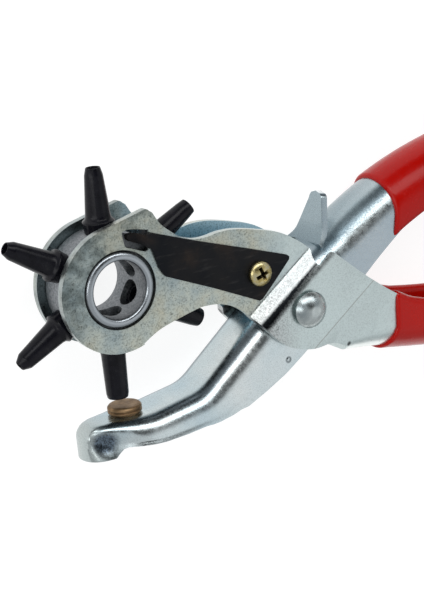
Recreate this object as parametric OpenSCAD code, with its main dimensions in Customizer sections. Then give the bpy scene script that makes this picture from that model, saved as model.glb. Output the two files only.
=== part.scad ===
// Rotary hole punch. Lies on its side: X runs from the wheel to the handles,
// -Y is the way the working tube points, Z is along the pivot and the hub.
// The origin is the wheel's centre. Units are millimetres.

/* [Sheet and gaps] */
// Thickness of both folded steel sheets
sheet = 1.8; // [1.4:0.1:2.2]
// Inner face of each cheek from the mid-plane
cheek_in = 5.3; // [4.8:0.1:6]
// Inner face of each pivot plate from the mid-plane
plate_in = 8.9; // [8.4:0.1:9.6]
// Radial clearance of turning fits
run_gap = 0.08; // [0.02:0.01:0.1]
// Clearance between fixed parts
fix_gap = 0.02; // [0.01:0.01:0.05]

/* [Turret wheel] */
// Radius of the wheel's rim
wheel_r = 13; // [12:0.1:14]
// Half width of the wheel between the cheeks
wheel_half = 5; // [4:0.1:5.1]
// Outer radius of the hub lips that turn in the cheeks
lip_r = 8.8; // [8:0.1:9.5]
// Height of the hub lips from the mid-plane
lip_half = 7.4; // [7.1:0.1:8.5]
// Radius of the open bore through the hub
bore_r = 6.7; // [5.5:0.1:7]
// Radius of the chamber in the middle of the hub
chamber_r = 7.3; // [6.8:0.1:7.6]
// Half length of that chamber
chamber_half = 3.6; // [2:0.1:4]

/* [Punch tubes] */
// Distance of every tube's cutting edge from the wheel's centre
tip_r = 27.5; // [26:0.1:29]
// Diameter of the smallest hole; the largest is at work
hole_min = 2; // [1.5:0.1:2.5]
// Step from one hole size to the next
hole_step = 0.5; // [0.3:0.1:0.5]
// Radius of the threaded shank in the wheel
shank_r = 3.1; // [2.8:0.1:3.2]
// Radius of the flared collar
collar_r = 3.84; // [3.7:0.02:4]
// Distance of the collar's seat from the wheel's centre
tube_foot = 12.45; // [12.2:0.05:12.6]
// Radius of the body above the collar
body_r = 2.88; // [2.8:0.02:3.2]
// Smallest radius of a tube behind its cutting edge
neck_r = 2.15; // [2.1:0.05:2.4]

/* [Cheeks and lower handle] */
// Radius of the cheek around the wheel
cheek_r = 14.9; // [14:0.1:16]
// Angle of the joggle line from X
joggle_a = 34.5; // [30:0.5:40]
// Distance of the joggle line from the wheel's centre
joggle_d = 31.3; // [30:0.1:34]
// Length of the joggle across its line
joggle_w = 2.8; // [2:0.1:4]
// Half width of the lower handle
low_half = 9.4; // [8.8:0.1:10]
// Depth of the lower handle's channel
low_depth = 11.8; // [10:0.1:13]

/* [Anvil lever] */
// Half width of the jaw's bottom at its nose
nose_half = 6.3; // [6:0.1:7]
// Half width of the jaw and upper handle
lever_half = 8.7; // [8:0.1:8.75]
// Outer corner radius of the jaw's fold
lever_fold = 5.4; // [4.5:0.1:6]
// Depth of the upper handle's channel
up_depth = 11.8; // [10:0.1:13]
// Height of the ear above the web
ear_h = 10.4; // [8:0.1:12]

/* [Anvil] */
// Radius of the anvil disc
anvil_r = 4.1; // [3.5:0.1:5]
// Height of the anvil disc above the web
anvil_h = 2.3; // [1.8:0.1:2.6]
// Tilt of the anvil's axis with the jaws apart
anvil_tilt = 0.6; // [0:0.05:1.5]

/* [Pivot] */
// Pivot position along X
pivot_x = 48.4; // [46:0.1:52]
// Pivot position along Y
pivot_y = -15.3; // [-18:0.1:-12]
// Radius of the rivet's shank
rivet_r = 2.7; // [2.3:0.1:3.2]
// Radius of the domed head
rivet_head_r = 4.5; // [4:0.05:5.5]
// Height of the domed head
rivet_head_h = 2.4; // [2:0.1:3.5]
// Height of the short neck under the head
rivet_neck_h = 0.95; // [0.5:0.05:1.5]

/* [Index leaf and screw] */
// Thickness of the leaf
leaf_t = 0.8; // [0.5:0.1:1.2]
// Screw position along X
screw_x = 36.8; // [34:0.1:39]
// Screw position along Y
screw_y = -4.2; // [-6:0.1:-2]
// Radius of the screw's head
screw_head_r = 3.05; // [2.8:0.05:3.2]

/* [Grips] */
// Thickness of the plastic coat
coat = 0.9; // [0.6:0.1:1.4]
// Where the upper coat begins along X
grip_up_x = 76.2; // [70:0.1:85]
// Where the lower coat begins along X
grip_low_x = 73; // [70:0.1:85]

/* [Hidden] */
$fn = 96;
cheek_out = cheek_in + sheet;
plate_out = plate_in + sheet;
tube_count = 6;
low_in = low_half - sheet;
eps = 0.01;
// Steps in each round corner of a swept channel
arc_n = 6;
// Wire, coil radius and coils of the opening spring
wire_r = 0.65;
coil_r = 3.55;
coils = 4;
index_a = 64;
index_r = 11.2;

// ---- curves -------------------------------------------------------------
function catmull(a, b, c, d, t) = 0.5 * (2 * b + (c - a) * t + (2 * a - 5 * b + 4 * c - d) * t * t
    + (3 * b - a - 3 * c + d) * t * t * t);
// Smooth open curve through a list of points
function smooth(p, n = 5) = [for (i = [0 : len(p) - 2]) for (k = [0 : n - 1])
    catmull(p[max(i - 1, 0)], p[i], p[i + 1], p[min(i + 2, len(p) - 1)], k / n), p[len(p) - 1]];

// Where a path's next piece starts: a piece is [length, 0, steps] or [radius, turn, steps]
function step(p, s) = s[1] == 0 ? [p[0] + s[0] * cos(p[2]), p[1] + s[0] * sin(p[2]), p[2]]
    : let(g = sign(s[1]), c = [p[0] - g * s[0] * sin(p[2]), p[1] + g * s[0] * cos(p[2])], a = p[2] + s[1])
        [c[0] + g * s[0] * sin(a), c[1] - g * s[0] * cos(a), a];
function part_of(s, f) = s[1] == 0 ? [s[0] * f, 0] : [s[0], s[1] * f];
function pose(p, path, n) = n == 0 ? p : step(pose(p, path, n - 1), path[n - 1]);
// All stations of a path as [x, y, direction]
function stations(p, path) = concat([for (i = [0 : len(path) - 1]) let(q = pose(p, path, i), s = path[i])
    for (k = [0 : s[2] - 1]) k == 0 ? q : step(q, part_of(s, k / s[2]))], [pose(p, path, len(path))]);

// ---- channel sections ---------------------------------------------------
// One round back corner of a channel, as [left of the path, height]
function bow(half, fold, drop) = [for (i = [0 : arc_n])
    [-drop - fold * (1 - sin(90 * i / arc_n)), half - fold * (1 - cos(90 * i / arc_n))]];
function flip(p) = [for (i = [len(p) - 1 : -1 : 0]) [p[i][0], -p[i][1]]];
// A layer between two offsets from the sheet's outer face, open at the legs
function u_loop(half, fold, depth, out, thick) = let(h = half + out, f = fold + out, g = h - thick,
    e = max(f - thick, 0.3), a = concat([[-depth, h]], bow(h, f, -out)),
    b = concat([[-depth, g]], bow(g, e, thick - out))) concat(a, flip(a), flip_back(flip(a), b));
function flip_back(unused, b) = [for (p = concat([for (i = [0 : len(b) - 1]) [b[i][0], -b[i][1]]],
    [for (i = [len(b) - 1 : -1 : 0]) b[i]])) p];
// The coat: outside the sheet, round both edges and a short way up inside
function coat_loop(half, fold, depth) = let(h = half + coat, f = fold + coat, g = half + fix_gap,
    e = fold + fix_gap, w = half - sheet - fix_gap, d = depth + fix_gap,
    a = concat([[-d + 2.5, w - coat + 0.1], [-depth - coat, w - coat + 0.1], [-depth - coat, h]],
        bow(h, f, -coat)),
    b = concat([[-d + 2.5, w], [-d, w], [-d, g]], bow(g, e, -fix_gap)))
    concat(a, flip(a), flip_back(a, b));

// Solid through a list of closed loops: each runs out along one face and back along the other
module skin(loops) {
    m = len(loops[0]);
    n = len(loops);
    polyhedron(points = [for (l = loops) for (p = l) p], faces = concat(
        [for (e = [0, (n - 1) * m]) for (j = [0 : m / 2 - 2]) let(a = e + j, b = e + m - 1 - j) each
            e == 0 ? [[b, b - 1, a + 1], [b, a + 1, a]] : [[a, a + 1, b - 1], [a, b - 1, b]]],
        [for (i = [0 : n - 2]) for (j = [0 : m - 1]) let(k = (j + 1) % m) each
            [[i * m + j, i * m + k, (i + 1) * m + k], [i * m + j, (i + 1) * m + k, (i + 1) * m + j]]]));
}
function place(loop, p) = [for (q = loop) [p[0] - q[0] * sin(p[2]), p[1] + q[0] * cos(p[2]), q[1]]];

// ---- paths --------------------------------------------------------------
// Crown of the lever's web, from behind the nose to the end of the upper handle
lever_start = [-5.2, -31.96, anvil_tilt];
lever_path = [[10.5, 0, 6], [18, 8.8 - anvil_tilt, 2], [9.33, 0, 3], [10, 29.25, 6], [38.7, 0, 8],
    [110, -24.1, 10], [220, -24, 10], [15, 0, 1]];
lever_line = stations(lever_start, lever_path);
// How far the skirts reach below the web, by the web's X
skirt_depth = [[-5.2, 7.4], [-3.6, 6.3], [-2.4, 5.9], [2, 6.2], [12, 7.5], [17, 7.8], [20, 9],
    [23.3, 11.4], [28, 12.9], [33, 14.3], [39, 15], [52, 15], [60, 14.6], [68, 13.6],
    [78, up_depth + 0.3], [85, up_depth], [300, up_depth]];
// Corner radius and depth of the nose
nose_fold = 3.6;
nose_depth = 7.9;
// Corner radius of the fold, by X: the handle's back is half round
fold_by_x = [[-5.2, nose_fold], [0, 4.4], [8, 4.9], [22, lever_fold], [56, lever_fold],
    [60.5, lever_half - 0.05], [300, lever_half - 0.05]];
// Half width, by X: the jaw narrows to its nose
half_by_x = [[-5.2, nose_half], [-3, 6.9], [0, 7.9], [3.5, lever_half - 0.1], [6, lever_half],
    [300, lever_half]];

// Crown of the lower handle's back, drawn upside down
low_start = [58.2, 29.1, 12];
low_path = [[26, 0, 8], [240, -24, 10], [20, 0, 1]];
low_line = stations(low_start, low_path);
low_by_x = [[50, 22], [58, 22], [63, 20], [68.5, 17.4], [73.6, 14.6], [78.5, 12.6], [85, low_depth],
    [300, low_depth]];

// ---- cheeks and lower handle --------------------------------------------
cheek_top = smooth([[10.2, 15.9], [11.9, 13.1], [14.1, 11], [16.9, 8.9], [20.5, 7.6], [23.7, 7.4],
    [27.5, 7.8], [32, 7.5], [38, 6.1], [44.4, 4], [49.8, 0.6], [52.3, -1.6]]);
cheek_low = smooth([[53.9, -25.6], [49.1, -25.7], [43.5, -24.1], [39.5, -21.5], [35.8, -17.2],
    [32.8, -13.4], [29.4, -10.9], [26, -9.5], [22.6, -9], [19, -9.2], [9.7, -11.4]]);
neck_top = smooth([[65.6, -10.4], [68.5, -12.7], [73.6, -16.4], [78.5, -19.5], [85, -22.8]]);
peak = [8.3, 16.0];

module cheek_side() {
    circle(cheek_r);
    translate(peak) circle(1.2, $fn = 32);
    polygon(concat([cheek_r * [cos(102), sin(102)], peak + 1.2 * [cos(102), sin(102)],
        peak + 1.2 * [cos(35), sin(35)]], cheek_top, [[52.7, -5.3], [55.4, -3.2], [56.2, -2.7], [57, -2.9]],
        neck_top, [[84, -25], [72, -24], [63, -26], [59, -26.6], [57.9, -26.2]], cheek_low,
        [[2.8, -14.6], [0, 0]]));
}

// Cross-section of one folded cheek: first number = distance past the joggle line
module cheek_fold() {
    turn = 17.8;
    k = 0.75;
    polygon([[-60, cheek_in], [0.2, cheek_in], [joggle_w + k, plate_in], [turn, plate_in],
        [turn + 6.7, low_in], [turn + 60, low_in], [turn + 60, low_half], [turn + 6.5, low_half],
        [turn - 0.2, plate_out], [joggle_w, plate_out], [-k, cheek_out], [-60, cheek_out]]);
}

module index_slot() {
    polygon([[2.6, 9.4], [2.4, 13.1], [4.2, 13.4], [8.6, 12.2], [8, 7.4], [3.5, 9.1]]);
}

module cheek(s) {
    mirror([0, 0, s > 0 ? 0 : 1]) difference() {
        intersection() {
            linear_extrude(plate_out + 1) cheek_side();
            rotate(joggle_a - 90) translate([joggle_d, 0, 0])
                rotate([90, 0, 0]) translate([0, 0, -100]) linear_extrude(200) cheek_fold();
        }
        translate([0, 0, cheek_in - 1]) cylinder(r = lip_r + run_gap, h = sheet + 2);
        translate([pivot_x, pivot_y, plate_in - 1]) cylinder(r = rivet_r + fix_gap, h = sheet + 2);
        if (s > 0) {
            linear_extrude(plate_in) index_slot();
            translate([screw_x, screw_y, 0]) cylinder(r = 1.5 + fix_gap, h = plate_in, $fn = 48);
        }
    }
}

module cheek_frame() color([0.72, 0.76, 0.75]) {
    for (s = [-1, 1]) cheek(s);
    // The back of the lower handle starts where the plates have drawn in to its width
    difference() {
        mirror([0, 1, 0]) skin([for (p = low_line)
            place(u_loop(low_half, low_half - 0.05, lookup(p[0], low_by_x), 0, sheet), p)]);
        rotate(joggle_a - 90) translate([-10, -10, -20]) cube([joggle_d + 34.1, 130, 40]);
    }
}

// A coat over the end of a handle, from the plane that passes through at with slope angle turn
module grip(line, half, by_x, at, turn) {
    last = line[len(line) - 1];
    kept = concat([for (p = line) if (p[0] > at[0] - 12) p], [step(last, [coat, 0])]);
    difference() {
        skin([for (p = kept) place(coat_loop(half, half - 0.05, lookup(p[0], by_x)), p)]);
        translate(at) rotate(turn) translate([-60, -60, -20]) cube([60, 120, 40]);
    }
    skin([for (d = [fix_gap, coat - 0.1]) let(p = step(last, [d, 0]))
        place(u_loop(half, half - 0.05, lookup(p[0], by_x) + coat / 2, coat / 2, sheet + coat), p)]);
}

module lower_grip() color([0.72, 0.05, 0.07])
    mirror([0, 1, 0]) grip(low_line, low_half, low_by_x, [grip_low_x, 32, 0], low_start[2]);

// ---- lever --------------------------------------------------------------
ear_at = [58.4, 0.2];
back_x = 61.2;

module ear() {
    w = 6.4;
    tip = 2;
    translate([ear_at[0], ear_at[1] - 2.4, 0]) rotate(-14) rotate([90, 0, 90]) translate([0, 0, -sheet / 2])
        linear_extrude(sheet) {
            polygon([[0, w], [3, w], [ear_h + 1.2, tip], [ear_h + 1.2, -tip], [3, -w], [0, -w]]);
            translate([ear_h + 0.7, 0]) circle(tip + 0.05, $fn = 48);
        }
}

// Closed round nose, a hair fuller than the channel it joins
module nose() {
    o = 0.03;
    h = nose_half + o;
    g = nose_half - sheet - o;
    half = concat([[0, o]],
        [for (i = [arc_n : -1 : 0]) let(b = bow(h, nose_fold + o, -o)) [b[i][1], b[i][0]]],
        [[h, -nose_depth], [g, -nose_depth]],
        [for (b = bow(g, nose_fold - sheet - o, sheet + o)) [b[1], b[0]]],
        [[0, -sheet - o]]);
    translate([lever_start[0], lever_start[1], 0]) rotate(lever_start[2]) intersection() {
        rotate([-90, 0, 0]) rotate_extrude() polygon(half);
        translate([-30, -30, -30]) cube([30.4, 60, 60]);
    }
}

module anvil_lever() color([0.78, 0.82, 0.85]) {
    difference() {
        union() {
            nose();
            skin([for (p = lever_line) place(u_loop(lookup(p[0], half_by_x), lookup(p[0], fold_by_x),
                lookup(p[0], skirt_depth), 0, sheet), p)]);
        }
        translate([pivot_x, pivot_y, -20]) cylinder(r = rivet_r + run_gap, h = 40);
        anvil_place() translate([0, 0, -6]) cylinder(r = 1.8 + fix_gap, h = 12, $fn = 48);
    }
    ear();
}

module upper_grip() color([0.72, 0.05, 0.07])
    grip(lever_line, lever_half, skirt_depth, [grip_up_x, 9, 0], 2);

// ---- anvil --------------------------------------------------------------
anvil_x = 1.4;
module anvil_place() {
    translate([anvil_x, lever_start[1] + (anvil_x - lever_start[0]) * tan(anvil_tilt), 0])
        rotate(anvil_tilt) rotate([-90, 0, 0]) children();
}
module anvil() color([0.45, 0.33, 0.2]) {
    anvil_place() rotate_extrude()
        polygon([[0, -sheet - 0.9], [2.3, -sheet - 0.9], [2.7, -sheet - 0.5], [2.7, -sheet - fix_gap],
            [1.8, -sheet - fix_gap], [1.8, fix_gap], [anvil_r - 0.5, fix_gap], [anvil_r - 0.4, 0.35],
            [anvil_r, 0.5], [anvil_r, 0.95], [anvil_r - 0.2, 1.1], [anvil_r - 0.2, 1.22], [anvil_r, 1.4],
            [anvil_r, anvil_h - 0.5], [anvil_r - 0.4, anvil_h - 0.1], [anvil_r - 1, anvil_h], [0, anvil_h]]);
}

// ---- pivot --------------------------------------------------------------
module pivot_rivet() color([0.75, 0.77, 0.79]) {
    dome = (rivet_head_r * rivet_head_r + rivet_head_h * rivet_head_h) / (2 * rivet_head_h);
    tail_r = 4;
    tail_h = 1.3;
    translate([pivot_x, pivot_y, 0]) {
        translate([0, 0, -plate_out - fix_gap]) cylinder(r = rivet_r, h = 2 * (plate_out + fix_gap));
        translate([0, 0, plate_out + fix_gap]) {
            cylinder(r = rivet_head_r - 0.8, h = rivet_neck_h + 0.1);
            translate([0, 0, rivet_neck_h]) difference() {
                intersection() {
                    translate([0, 0, rivet_head_h - dome]) sphere(dome);
                    cylinder(r = rivet_head_r - 0.05, h = 5);
                }
                translate([0, 0, rivet_head_h + 1.05]) sphere(1.2, $fn = 32);
            }
        }
        translate([0, 0, -plate_out - fix_gap - tail_h]) {
            cylinder(r1 = tail_r - 1, r2 = tail_r, h = 0.8);
            translate([0, 0, 0.8]) cylinder(r = tail_r, h = tail_h - 0.8);
        }
    }
}

// Torsion spring round the rivet: a leg lies on the back of each handle
module spring_leg(a, far, z) {
    rotate(a) translate([0, -coil_r, z]) rotate([0, 90, 0]) cylinder(r = wire_r, h = far, $fn = 24);
    rotate(a) translate([far, -coil_r, z]) sphere(wire_r, $fn = 24);
}
module opening_spring() color([0.3, 0.31, 0.33]) {
    pitch = 2 * wire_r + 0.02;
    translate([pivot_x, pivot_y, 0]) {
        for (i = [0 : coils - 1]) translate([0, 0, (i - (coils - 1) / 2) * (2 * wire_r - 0.05)])
            rotate_extrude() translate([coil_r, 0]) circle(wire_r, $fn = 24);
        spring_leg(-24.2, 24, 1.5 * pitch);
        mirror([0, 1, 0]) spring_leg(-35.5, 22, -1.5 * pitch);
    }
}

// ---- index leaf and its screw -------------------------------------------
module index_leaf() color([0.07, 0.07, 0.075]) {
    low = cheek_out + fix_gap;
    difference() {
        union() {
            translate([0, 0, low]) linear_extrude(leaf_t)
                polygon([[7.5, 11.5], [8.4, 11.75], [35.3, 2.1], [45.4, -1.6], [45.9, -2.1], [45.8, -2.6],
                    [37.3, -10.8], [36.6, -11], [11.6, 0.7], [11.2, 1.4], [9.9, 3.6], [8.7, 7.9],
                    [7.4, 8.5]]);
            intersection() {
                translate([3.3, 11.2, 0]) rotate(-19) rotate([90, 0, 0]) linear_extrude(2.9, center = true)
                    polygon([[0, wheel_half + 0.1], [0.9, wheel_half + 0.1], [1.6, cheek_out - 0.5],
                        [3.1, low], [5.2, low], [5.2, low + leaf_t], [2.7, low + leaf_t],
                        [0.6, cheek_out - 0.1], [0, wheel_half + 0.6]]);
                cylinder(r = 40, h = 20);
            }
        }
        translate([screw_x, screw_y, 0]) cylinder(r = 1.6, h = 20, $fn = 48);
    }
}

module leaf_screw() color([0.75, 0.62, 0.3]) {
    seat = cheek_out + leaf_t + 2 * fix_gap;
    dome = 4.8;
    translate([screw_x, screw_y, 0]) difference() {
        union() {
            translate([0, 0, cheek_in - 1.2]) cylinder(r = 1.5, h = seat - cheek_in + 1.2, $fn = 48);
            translate([0, 0, seat]) cylinder(r = screw_head_r, h = 0.95, $fn = 64);
            intersection() {
                translate([0, 0, seat + 2 - dome]) sphere(dome);
                translate([0, 0, seat]) cylinder(r = screw_head_r - 0.02, h = 3, $fn = 64);
            }
        }
        for (a = [20, 110]) rotate(a) translate([-1.7, -0.4, seat + 0.6]) cube([3.4, 0.8, 2]);
    }
}

// ---- turret -------------------------------------------------------------
module turret_wheel() color([0.55, 0.57, 0.58]) {
    rim = 0.6;
    half = [[bore_r + 0.4, lip_half], [lip_r - 0.4, lip_half], [lip_r, lip_half - 0.4], [lip_r, wheel_half],
        [wheel_r - rim, wheel_half], [wheel_r, wheel_half - rim]];
    difference() {
        rotate_extrude(angle = 360) polygon(concat(half,
            [for (i = [len(half) - 1 : -1 : 0]) [half[i][0], -half[i][1]]],
            [[bore_r, -lip_half + 0.4], [bore_r, -chamber_half], [chamber_r, -chamber_half + 0.4],
             [chamber_r, chamber_half - 0.4], [bore_r, chamber_half], [bore_r, lip_half - 0.4]]));
        for (i = [0 : tube_count - 1]) rotate(60 * i - 90) {
            rotate([0, 90, 0]) cylinder(r = shank_r + fix_gap, h = 20, $fn = 64);
            translate([tube_foot - fix_gap, 0, 0]) rotate([0, 90, 0])
                cylinder(r = collar_r - 0.24, h = 2, $fn = 64);
            rotate([0, 0, index_a + 90 - 120]) translate([index_r, 0, wheel_half + 1.1])
                sphere(1.5, $fn = 48);
        }
    }
}

// Tube number n; the first one is the one at work
module tube(n) {
    bore = (hole_min + hole_step * (tube_count - 1 - n)) / 2;
    neck = max(bore + 0.42, neck_r);
    color([0.06, 0.06, 0.07]) rotate(60 * n - 90) rotate([0, 90, 0]) rotate_extrude($fn = 64)
        polygon([[bore, chamber_r + 0.9], [shank_r, chamber_r + 0.9], [shank_r, tube_foot],
            [collar_r - 0.34, tube_foot], [collar_r - 0.22, tube_foot + 1.15], [collar_r, tube_foot + 2.4],
            [collar_r - 0.02, tube_foot + 2.75], [collar_r - 0.34, tube_foot + 3],
            [collar_r - 0.7, tube_foot + 3.35], [body_r, tube_foot + 4.6],
            [neck, tip_r - (n == 0 ? 1 : 1.7)], [bore + 0.2, tip_r], [bore, tip_r]]);
}
module punch_tube_1() tube(0);
module punch_tube_2() tube(1);
module punch_tube_3() tube(2);
module punch_tube_4() tube(3);
module punch_tube_5() tube(4);
module punch_tube_6() tube(5);

cheek_frame();
lower_grip();
pivot_rivet();
opening_spring();
index_leaf();
leaf_screw();
turret_wheel();
punch_tube_1();
punch_tube_2();
punch_tube_3();
punch_tube_4();
punch_tube_5();
punch_tube_6();
anvil_lever();
anvil();
upper_grip();
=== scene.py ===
"""Rotary hole punch: detailed pieces, materials, light and camera over the CAD frame.

The tool lies on its side. X runs from the wheel to the handles, -Y is where the working tube
points, Z runs along the hub and the pivot. Shapes are written in millimetres, angles in degrees,
and they become metres and radians where Blender needs them.
"""

import math

import bmesh
import bpy
import numpy as np
from mathutils import Matrix, Vector


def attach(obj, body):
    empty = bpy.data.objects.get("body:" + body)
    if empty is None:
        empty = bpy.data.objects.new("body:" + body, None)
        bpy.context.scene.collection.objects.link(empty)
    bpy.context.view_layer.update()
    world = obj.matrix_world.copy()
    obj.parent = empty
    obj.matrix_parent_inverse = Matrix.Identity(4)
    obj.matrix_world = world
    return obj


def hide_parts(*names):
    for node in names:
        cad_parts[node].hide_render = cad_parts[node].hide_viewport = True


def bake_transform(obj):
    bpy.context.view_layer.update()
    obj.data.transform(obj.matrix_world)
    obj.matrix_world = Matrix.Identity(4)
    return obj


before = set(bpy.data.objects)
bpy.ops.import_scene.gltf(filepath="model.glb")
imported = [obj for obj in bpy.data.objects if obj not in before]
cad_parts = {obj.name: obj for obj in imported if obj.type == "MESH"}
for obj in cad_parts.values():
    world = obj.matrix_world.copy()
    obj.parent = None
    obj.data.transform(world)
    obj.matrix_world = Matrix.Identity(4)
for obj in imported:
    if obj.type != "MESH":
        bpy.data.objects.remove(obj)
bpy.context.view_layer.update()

MM = 0.001

# ---- driving dimensions, as in the CAD ------------------------------------
SHEET = 1.8
CHEEK_OUT = 7.1
CHEEK_IN = CHEEK_OUT - SHEET
PLATE_OUT = 10.7
LOW_HALF = 9.4
LOW_DEPTH = 11.8
LEVER_HALF = 8.7
LEVER_FOLD = 5.4
UP_DEPTH = 11.8
COAT = 0.9
LEAF = 0.8
PIVOT = (48.4, -15.3)
SCREW = (36.8, -4.2)
ANVIL_X = 1.4
JOGGLE_ANGLE = math.radians(34.5)
JOGGLE_AT = 31.35
CREASE = 17.8  # the bend in the plate behind the pivot, past the joggle line
LIP_R = 8.8
LIP_GAP = 0.45
TIP_R = 27.5
TUBES = 6
SHANK_FOOT = 8.2
FLOOR_Z = -12.06

# Paths shared with the CAD: start (x, y, direction), then lines (length, 0) and arcs (radius, turn)
LEVER_START = (-5.2, -31.96, 0.6)
LEVER_PATH = [(10.5, 0), (18, 8.2), (9.33, 0), (10, 29.25), (38.7, 0), (110, -24.1), (220, -24), (15, 0)]
LOW_START = (60.0, -29.48, -12)
LOW_PATH = [(24.2, 0), (240, 24), (20, 0)]

# Small marks, as (x, y)
PIP = (16.2, -6.1)
CORNER_HOLE = (60.3, -27.4)
SLOT = (5.2, 10.8)
TONGUE = (4.6, 11.2)
DENT = (-6.9, -36.1)
NUB = (42.8, -27.3)

# ---- node helpers ----------------------------------------------------------


class Mat:
    """A material built from procedural nodes, in object coordinates."""

    def __init__(self, name, **values):
        self.m = bpy.data.materials.new(name)
        self.m.use_nodes = True
        self.t = self.m.node_tree
        self.b = self.t.nodes["Principled BSDF"]
        self.co = self.node("ShaderNodeTexCoord").outputs["Object"]
        self.set(**values)

    def node(self, kind, **props):
        n = self.t.nodes.new(kind)
        for k, v in props.items():
            setattr(n, k, v)
        return n

    def put(self, value, socket):
        if isinstance(value, bpy.types.NodeSocket):
            self.t.links.new(value, socket)
        else:
            socket.default_value = value

    def stretched(self, scale, turn=(0, 0, 0)):
        n = self.node("ShaderNodeMapping")
        self.put(self.co, n.inputs["Vector"])
        n.inputs["Scale"].default_value = scale
        n.inputs["Rotation"].default_value = turn
        return n.outputs["Vector"]

    def noise(self, per_mm, detail=3.0, rough=0.5, vector=None):
        n = self.node("ShaderNodeTexNoise")
        self.put(vector or self.co, n.inputs["Vector"])
        n.inputs["Scale"].default_value = per_mm / MM
        n.inputs["Detail"].default_value = detail
        n.inputs["Roughness"].default_value = rough
        return n.outputs["Fac"]

    def ramp(self, fac, *stops):
        n = self.node("ShaderNodeValToRGB")
        self.put(fac, n.inputs["Fac"])
        el = n.color_ramp.elements
        while len(el) < len(stops):
            el.new(0.5)
        for e, (at, colour) in zip(el, stops):
            e.position = at
            e.color = (*colour, 1)
        return n.outputs["Color"]

    def span(self, fac, low, high, to_low=0.0, to_high=1.0):
        """Maps low..high of a value to to_low..to_high, and no further."""
        n = self.node("ShaderNodeMapRange")
        self.put(fac, n.inputs["Value"])
        for k, v in zip(("From Min", "From Max", "To Min", "To Max"), (low, high, to_low, to_high)):
            n.inputs[k].default_value = v
        return n.outputs["Result"]

    def step(self, length, low, high, to_low=0.0, to_high=1.0):
        """The same for a length, its two ends in millimetres."""
        return self.span(length, low * MM, high * MM, to_low, to_high)

    def vary(self, noise, low, high):
        """The middle of a noise, from low to high."""
        return self.span(noise, 0.3, 0.7, low, high)

    def math(self, op, a, b=0.0):
        n = self.node("ShaderNodeMath", operation=op)
        self.put(a, n.inputs[0])
        self.put(b, n.inputs[1])
        return n.outputs[0]

    def times(self, first, *others):
        for factor in others:
            first = self.math("MULTIPLY", first, factor)
        return first

    def minus(self, a, b):
        return self.math("SUBTRACT", a, b)

    def size(self, a):
        return self.math("ABSOLUTE", a)

    def mix(self, fac, a, b, blend="MIX"):
        n = self.node("ShaderNodeMix", data_type="RGBA", blend_type=blend)
        self.put(fac, n.inputs["Factor"])
        self.put(a if isinstance(a, bpy.types.NodeSocket) else (*a, 1), n.inputs["A"])
        self.put(b if isinstance(b, bpy.types.NodeSocket) else (*b, 1), n.inputs["B"])
        return n.outputs["Result"]

    def bump(self, height, strength, depth_mm, under=None):
        n = self.node("ShaderNodeBump")
        self.put(height, n.inputs["Height"])
        n.inputs["Strength"].default_value = strength
        n.inputs["Distance"].default_value = depth_mm * MM
        if under is not None:
            self.put(under, n.inputs["Normal"])
        return n.outputs["Normal"]

    def axis(self, name):
        n = self.node("ShaderNodeSeparateXYZ")
        self.put(self.co, n.inputs[0])
        return n.outputs[name]

    def facing(self, direction):
        """How far a face's own side looks along a direction of the object, 1 for straight."""
        n = self.node("ShaderNodeVectorMath", operation="DOT_PRODUCT")
        self.put(self.node("ShaderNodeTexCoord").outputs["Normal"], n.inputs[0])
        n.inputs[1].default_value = direction
        return n.outputs["Value"]

    def near(self, place, radius, soft):
        """1 inside a round column about a place (x, y), 0 outside it."""
        n = self.node("ShaderNodeVectorMath", operation="DISTANCE")
        flat = self.node("ShaderNodeVectorMath", operation="MULTIPLY")
        self.put(self.co, flat.inputs[0])
        flat.inputs[1].default_value = (1, 1, 0)
        self.put(flat.outputs["Vector"], n.inputs[0])
        n.inputs[1].default_value = (place[0] * MM, place[1] * MM, 0)
        return self.step(n.outputs["Value"], radius, radius + soft, 1.0, 0.0)

    def set(self, **sockets):
        """Sets or links the shader's sockets, their names written with _ for a space."""
        for k, v in sockets.items():
            self.put(v, self.b.inputs[k.replace("_", " ")])
        return self.m


def grey(v):
    return (v, v, v)


# ---- materials ---------------------------------------------------------------

WHITE = grey(1.0)
CLEAN_ZINC = (0.58, 0.67, 0.665)
DIM_SPECULAR = 0.11


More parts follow.
